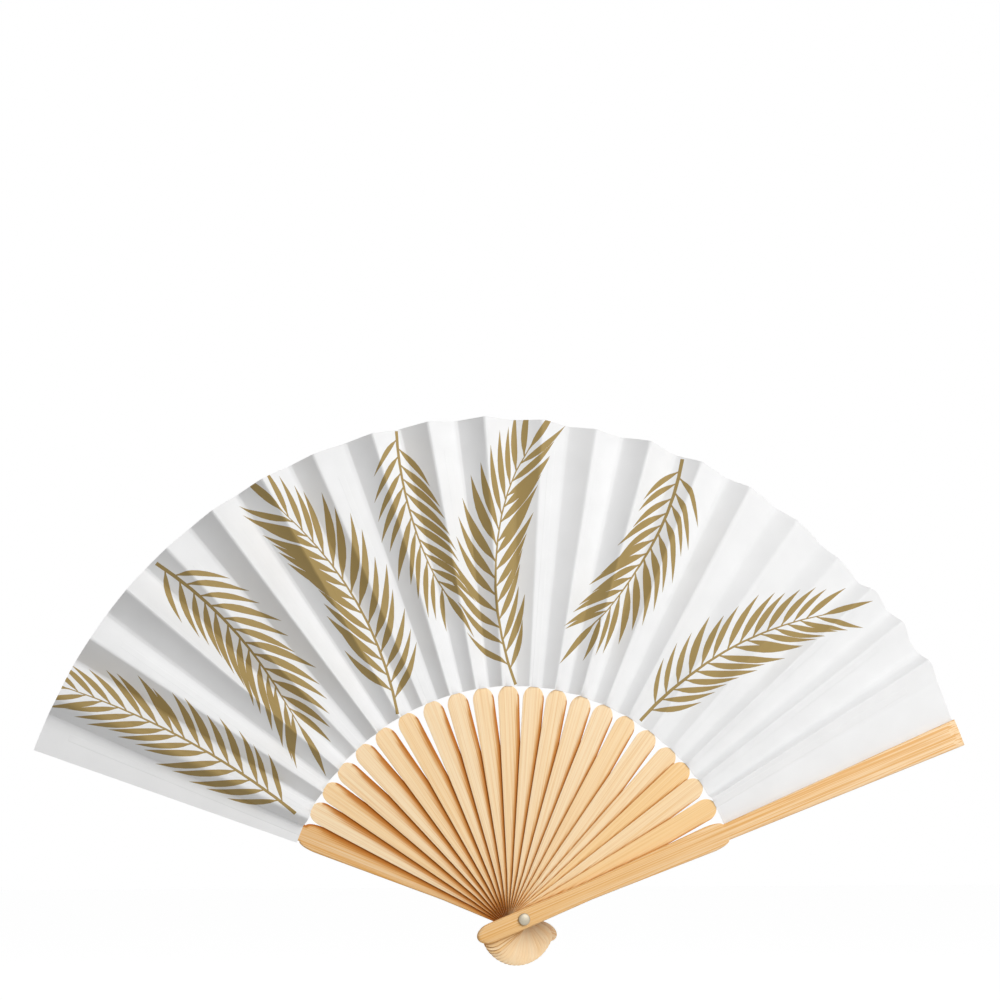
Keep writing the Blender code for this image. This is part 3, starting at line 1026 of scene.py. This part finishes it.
def pleat_cut(pleat, outlines):
    """Cut a pleat's flat into triangles along its strips and the print: points, faces, inked."""
    near = (BLADE_REACH - LEAF_LAP) / MM
    grid = []
    for strip in range(PLEAT_STRIPS + 1):
        angle = pleat.left[0] + (pleat.right[0] - pleat.left[0]) * strip / PLEAT_STRIPS
        far = rim(angle) / MM
        shares = [(ring / PLEAT_RINGS) ** PLEAT_CROWDING for ring in range(PLEAT_RINGS + 1)]
        radii = [near + (far - near) * share for share in shares]
        grid.append([(r * math.cos(angle), r * math.sin(angle)) for r in radii])
    points, number = [], {}
    for strip, line in enumerate(grid):
        for ring, point in enumerate(line):
            number[strip, ring] = len(points)
            points.append(point)
    edges = [
        (number[strip, ring], number[strip, ring + 1])
        for strip in range(1, PLEAT_STRIPS)
        for ring in range(PLEAT_RINGS)
    ]
    border = [number[0, ring] for ring in range(PLEAT_RINGS + 1)]
    border += [number[strip, PLEAT_RINGS] for strip in range(1, PLEAT_STRIPS + 1)]
    border += [number[PLEAT_STRIPS, ring] for ring in range(PLEAT_RINGS - 1, -1, -1)]
    border += [number[strip, 0] for strip in range(PLEAT_STRIPS - 1, 0, -1)]
    faces = [border[::-1]]
    corners = [points[i] for i in border]
    low_x, high_x = min(x for x, _ in corners), max(x for x, _ in corners)
    low_z, high_z = min(z for _, z in corners), max(z for _, z in corners)
    for outline in outlines:
        xs, zs = [x for x, _ in outline], [z for _, z in outline]
        if max(xs) > low_x and min(xs) < high_x and max(zs) > low_z and min(zs) < high_z:
            faces.append(list(range(len(points), len(points) + len(outline))))
            points += outline
    flat, _, cut, _, _, sources = delaunay_2d_cdt(
        [Vector(p) for p in points], edges, faces, TRIANGLES_INSIDE, CUT_WELD_MM
    )
    kept = [(face, len(source) > 1) for face, source in zip(cut, sources) if 0 in source]
    return [(x * MM, z * MM) for x, z in flat], kept


def pleat_mesh(name, pleat, outlines):
    """A closed sheet for one pleat, printed on its front, with the surface's own normals."""
    flat, kept = pleat_cut(pleat, outlines)
    used = sorted({i for face, _ in kept for i in face})
    renumbered = {old: new for new, old in enumerate(used)}
    polar = [(math.hypot(*flat[i]), math.atan2(flat[i][1], flat[i][0])) for i in used]
    middles = [pleat.point(r, a) for r, a in polar]
    normals = [pleat.normal(r, a) for r, a in polar]
    half = Vector((0, PAPER_THICKNESS / 2, 0))
    count = len(used)
    points = [m - half for m in middles] + [m + half for m in middles]
    faces, inks, ways = [], [], []
    uses = {}
    for face, inked in kept:
        a, b, c = (renumbered[i] for i in face)
        if (points[b] - points[a]).cross(points[c] - points[a]).y > 0:
            b, c = c, b
        faces += [(a, b, c), (a + count, c + count, b + count)]
        inks += [int(inked), 0]
        ways += [1, -1]
        for edge in ((a, b), (b, c), (c, a)):
            uses[frozenset(edge)] = None if frozenset(edge) in uses else edge
    for edge in uses.values():
        if edge:
            a, b = edge
            faces.append((b, a, a + count, b + count))
            inks.append(0)
            ways.append(0)
    mesh = bpy.data.meshes.new(name)
    mesh.from_pydata(points, [], faces)
    mesh.polygons.foreach_set("material_index", inks)
    mesh.shade_smooth()
    layer = mesh.uv_layers.new(name="leaf_mm")
    loops = []
    for polygon, way in zip(mesh.polygons, ways):
        for loop in polygon.loop_indices:
            vertex = mesh.loops[loop].vertex_index % count
            radius, angle = polar[vertex]
            across = radius * (angle - stick_angle(pleat.stick)) / MM
            layer.data[loop].uv = (across if pleat.glued else UNMARKED_MM, radius / MM)
            loops.append(normals[vertex] * way if way else polygon.normal)
    mesh.normals_split_custom_set(loops)
    mesh.update()
    return mesh


class FAN_OT_leaf(bpy.types.Operator):
    """Fold the printed paper leaf over the sticks, one piece for each flat between two folds"""

    bl_idname = "fan.leaf"
    bl_label = "Leaf"

    def execute(self, context):
        sizes, colours = context.scene.fan_sizes, context.scene.fan_colours
        materials = [
            printed_paper("paper_coated_white", colours.paper, roughness=0.85),
            printed_paper("ink_gold_matt", colours.ink, roughness=0.7),
        ]
        outlines = print_outlines()
        for index in range(LAST + 1):
            curve = (PLEAT_EASE, PLEAT_EASE, PLEAT_SAG if 0 < index < LAST else 0.0)
            pleat = Pleat(crest(index), valley(index), index, True, curve, sizes.ripple)
            body, name = stick_body(index), f"leaf_on_{stick_body(index)}"
            nodes = [f"leaf_span_{span:02d}" for span in (index, index + 1) if 0 < span <= LAST]
            mesh = pleat_mesh(name, pleat, outlines)
            place_pleat(name, mesh, materials, body, nodes)
        for index in range(LAST):
            curve = between_curve(index)
            pleat = Pleat(valley(index), crest(index + 1), index + 1, False, curve, sizes.ripple)
            span, name = f"leaf_span_{index + 1:02d}", f"leaf_after_{stick_body(index)}"
            mesh = pleat_mesh(name, pleat, outlines)
            place_pleat(name, mesh, materials, span, [span])
        return {"FINISHED"}


def place_pleat(name, mesh, materials, body, nodes):
    """Seat a pleat on its body, in place of its CAD nodes."""
    piece = add_piece(name, mesh, materials)
    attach(piece, body)
    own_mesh(piece)
    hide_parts(*nodes)


# Rivet


def lathe(name, profile):
    """Turn a profile of (radius, depth) points about the rivet's axis."""
    shape = bmesh.new()
    ring = [shape.verts.new((radius, -depth, 0)) for radius, depth in profile]
    edges = [shape.edges.new(pair) for pair in zip(ring, ring[1:])]
    if profile[0][0] > 0:
        edges.append(shape.edges.new((ring[-1], ring[0])))
    bmesh.ops.spin(
        shape, geom=ring + edges, axis=(0, 1, 0), cent=(0, 0, 0), angle=2 * math.pi,
        steps=LATHE_STEPS, use_merge=True,
    )
    bmesh.ops.remove_doubles(shape, verts=shape.verts, dist=WELD / 2)
    mesh = finished(shape, name)
    mesh.shade_smooth()
    mesh.set_sharp_from_angle(angle=SHARP_RIVET_EDGE)
    return mesh


def dome(radius, side, height, base, outwards):
    """Half profile of a domed head, from its seat's edge over an eased side to the axis."""
    ease = side / 3
    points = [(radius - ease, base), (radius, base + outwards * ease)]
    for step in range(DOME_STEPS):
        turn = math.pi / 2 * step / DOME_STEPS
        rise = side + height * math.sin(turn)
        points.append((radius * math.cos(turn), base + outwards * rise))
    points.append((0.0, base + outwards * (side + height)))
    return points


class FAN_OT_rivet(bpy.types.Operator):
    """Turn the domed rivet and the washer under its tail"""

    bl_idname = "fan.rivet"
    bl_label = "Rivet"

    def execute(self, context):
        nickel = tumbled_nickel("nickel_plated_steel", context.scene.fan_colours.nickel)
        face = STACK_DEPTH / 2
        washer_seat = -face - SEAT_GAP
        washer_back = washer_seat - WASHER_THICKNESS
        head_seat, tail_seat = face + SEAT_GAP, washer_back - SEAT_GAP
        head = dome(RIVET_HEAD_RADIUS, RIVET_HEAD_RIM, RIVET_HEAD_DOME, head_seat, 1)
        tail = dome(RIVET_TAIL_RADIUS, RIVET_TAIL_RIM, RIVET_TAIL_DOME, tail_seat, -1)
        shank = [(PIN_RADIUS, head_seat), (PIN_RADIUS, tail_seat)]
        inside, ease = PIN_RADIUS + PIN_CLEARANCE, WASHER_THICKNESS / 4
        ring = [
            (inside, washer_seat), (WASHER_RADIUS - ease, washer_seat),
            (WASHER_RADIUS, washer_seat - ease), (WASHER_RADIUS, washer_back + ease),
            (WASHER_RADIUS - ease, washer_back), (inside, washer_back),
        ]
        for node, profile in (("rivet_pin", head[::-1] + shank + tail), ("rivet_washer", ring)):
            piece = add_piece(f"{node}_nickel", lathe(node, profile), [nickel])
            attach(piece, "rear_guard")
            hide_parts(node)
        return {"FINISHED"}


# Stage

# The camera, fitted to the photograph: degrees, metres, and pixels of a 1000 pixel picture
CAMERA_AZIMUTH = -14.11
CAMERA_ELEVATION = -9.26
CAMERA_ROLL = -0.27
CAMERA_DISTANCE = 0.951
CAMERA_TARGET = (-0.0071, 0.1715)
CAMERA_FOCAL_PIXELS = 2323.0
PICTURE_PIXELS = 1000
SENSOR_MM = 36.0

FLOOR_REACH = 30.0
FLOOR_OWN_LIGHT = 0.72
WORLD_LIGHT = 0.165
LAMP_TARGET = Vector((0, 0, 0.1))
# name, degrees to the right of the front, degrees above the floor, strength, softness in degrees,
# and the distance in metres of a lamp that is near
LAMPS = (
    ("key_lamp", 25.5, 28.0, 0.84, 40.0, 1.15),
    ("back_lamp", 215.0, 35.0, 0.40, 25.0, None),
)


def direction(azimuth, elevation):
    """Unit vector towards a place, in degrees to the right of the front and above the floor."""
    turned, raised = math.radians(azimuth), math.radians(elevation)
    return Vector((
        math.sin(turned) * math.cos(raised), -math.cos(turned) * math.cos(raised),
        math.sin(raised),
    ))


def seen(tree):
    """1 where the eye meets it, also in a reflection or through glass, and 0 where it lights."""
    path = add(tree, "ShaderNodeLightPath").outputs
    met = path["Is Camera Ray"]
    for ray in ("Is Glossy Ray", "Is Transmission Ray"):
        met = add(tree, "ShaderNodeMath", {0: met, 1: path[ray]}, operation="MAXIMUM")
    return met


def stage_white(name, tone, own_light):
    """Matt pale floor, with a little light of its own for the camera so that it meets the backdrop."""
    material, tree = new_material(name)
    power = add(tree, "ShaderNodeMath", {0: seen(tree), 1: own_light}, operation="MULTIPLY")
    matt = add(tree, "ShaderNodeBsdfDiffuse", {"Color": (*tone, 1.0)})
    glow = add(tree, "ShaderNodeEmission", {"Strength": power})
    both = add(tree, "ShaderNodeAddShader", {0: matt, 1: glow})
    add(tree, "ShaderNodeOutputMaterial", {"Surface": both})
    return material


class FAN_OT_stage(bpy.types.Operator):
    """Set up the pale floor, the white backdrop, the soft lamps and the camera"""

    bl_idname = "fan.stage"
    bl_label = "Stage"

    def execute(self, context):
        scene = context.scene
        scene.view_settings.view_transform = "Standard"
        self.floor(scene)
        self.backdrop(scene)
        self.lamps(scene)
        self.camera(scene)
        return {"FINISHED"}

    def floor(self, scene):
        """A wide plane below the fan."""
        sides = ((-1, -1), (1, -1), (1, 1), (-1, 1))
        mesh = bpy.data.meshes.new("floor")
        corners = [(x * FLOOR_REACH, y * FLOOR_REACH, 0) for x, y in sides]
        mesh.from_pydata(corners, [], [(0, 1, 2, 3)])
        white = stage_white("floor_matt_white", scene.fan_colours.floor, FLOOR_OWN_LIGHT)
        floor = add_piece("floor", mesh, [white])
        floor.location.z = -scene.fan_sizes.floor_drop

    def backdrop(self, scene):
        """White where it is seen, and plain dim light where it lights the fan."""
        world = bpy.data.worlds.new("backdrop")
        scene.world = world
        world.use_nodes = True
        tree = world.node_tree
        tree.nodes.clear()
        light = {"Value": seen(tree), "To Min": WORLD_LIGHT, "To Max": 1.0}
        power = add(tree, "ShaderNodeMapRange", light)
        sky = add(tree, "ShaderNodeBackground", {"Color": (1, 1, 1, 1), "Strength": power})
        add(tree, "ShaderNodeOutputWorld", {"Surface": sky})

    def lamps(self, scene):
        """A broad near lamp on the right in front, and a weaker far one behind on the left."""
        for name, azimuth, elevation, power, softness, distance in LAMPS:
            towards, spread = direction(azimuth, elevation), math.radians(softness)
            lamp = bpy.data.lights.new(name, "AREA" if distance else "SUN")
            if distance:
                lamp.shape = "DISK"
                lamp.energy = power * (math.pi * distance) ** 2
                lamp.size = 2 * distance * math.tan(spread / 2)
            else:
                lamp.energy = power * math.pi
                lamp.angle = spread
            holder = bpy.data.objects.new(name, lamp)
            holder.rotation_euler = towards.to_track_quat("Z", "Y").to_euler()
            holder.location = LAMP_TARGET + towards * (distance or 1.0)
            scene.collection.objects.link(holder)

    def camera(self, scene):
        """The camera of the photograph."""
        back = direction(CAMERA_AZIMUTH, CAMERA_ELEVATION)
        level = (-back).cross(Vector((0, 0, 1))).normalized()
        upright = level.cross(-back)
        roll = math.radians(CAMERA_ROLL)
        right = level * math.cos(roll) + upright * math.sin(roll)
        up = upright * math.cos(roll) - level * math.sin(roll)
        across, above = CAMERA_TARGET
        data = bpy.data.cameras.new("camera")
        data.sensor_width = SENSOR_MM
        data.lens = CAMERA_FOCAL_PIXELS / PICTURE_PIXELS * SENSOR_MM
        camera = bpy.data.objects.new("camera", data)
        turn = Matrix((right, up, back)).transposed().to_4x4()
        place = right * across + up * above + back * CAMERA_DISTANCE
        camera.matrix_world = Matrix.Translation(place) @ turn
        scene.collection.objects.link(camera)
        scene.camera = camera


class FAN_PT_panel(bpy.types.Panel):
    """Lists the fan's pieces, sizes and colours"""

    bl_idname = "FAN_PT_panel"
    bl_label = "Hand fan"
    bl_space_type = "VIEW_3D"
    bl_region_type = "UI"
    bl_category = "Hand fan"

    def draw(self, context):
        for operator in OPERATORS:
            self.layout.operator(operator.bl_idname)
        for group in (context.scene.fan_sizes, context.scene.fan_colours):
            box = self.layout.box()
            for name in group.bl_rna.properties.keys():
                if name not in ("rna_type", "name"):
                    box.prop(group, name)


OPERATORS = (FAN_OT_stage, FAN_OT_guards, FAN_OT_ribs, FAN_OT_leaf, FAN_OT_rivet)
CLASSES = (FanSizes, FanColours, *OPERATORS, FAN_PT_panel)


def register():
    """Make the classes and the scene's properties known to Blender."""
    for made in CLASSES:
        bpy.utils.register_class(made)
    bpy.types.Scene.fan_sizes = bpy.props.PointerProperty(type=FanSizes)
    bpy.types.Scene.fan_colours = bpy.props.PointerProperty(type=FanColours)


def unregister():
    """Take them away again."""
    del bpy.types.Scene.fan_colours
    del bpy.types.Scene.fan_sizes
    for made in reversed(CLASSES):
        bpy.utils.unregister_class(made)


def main():
    """Make every piece and the stage."""
    register()
    bpy.ops.fan.stage()
    bpy.ops.fan.guards()
    bpy.ops.fan.ribs()
    bpy.ops.fan.leaf()
    bpy.ops.fan.rivet()
    bpy.context.view_layer.update()


if __name__ == "__main__":
    main()
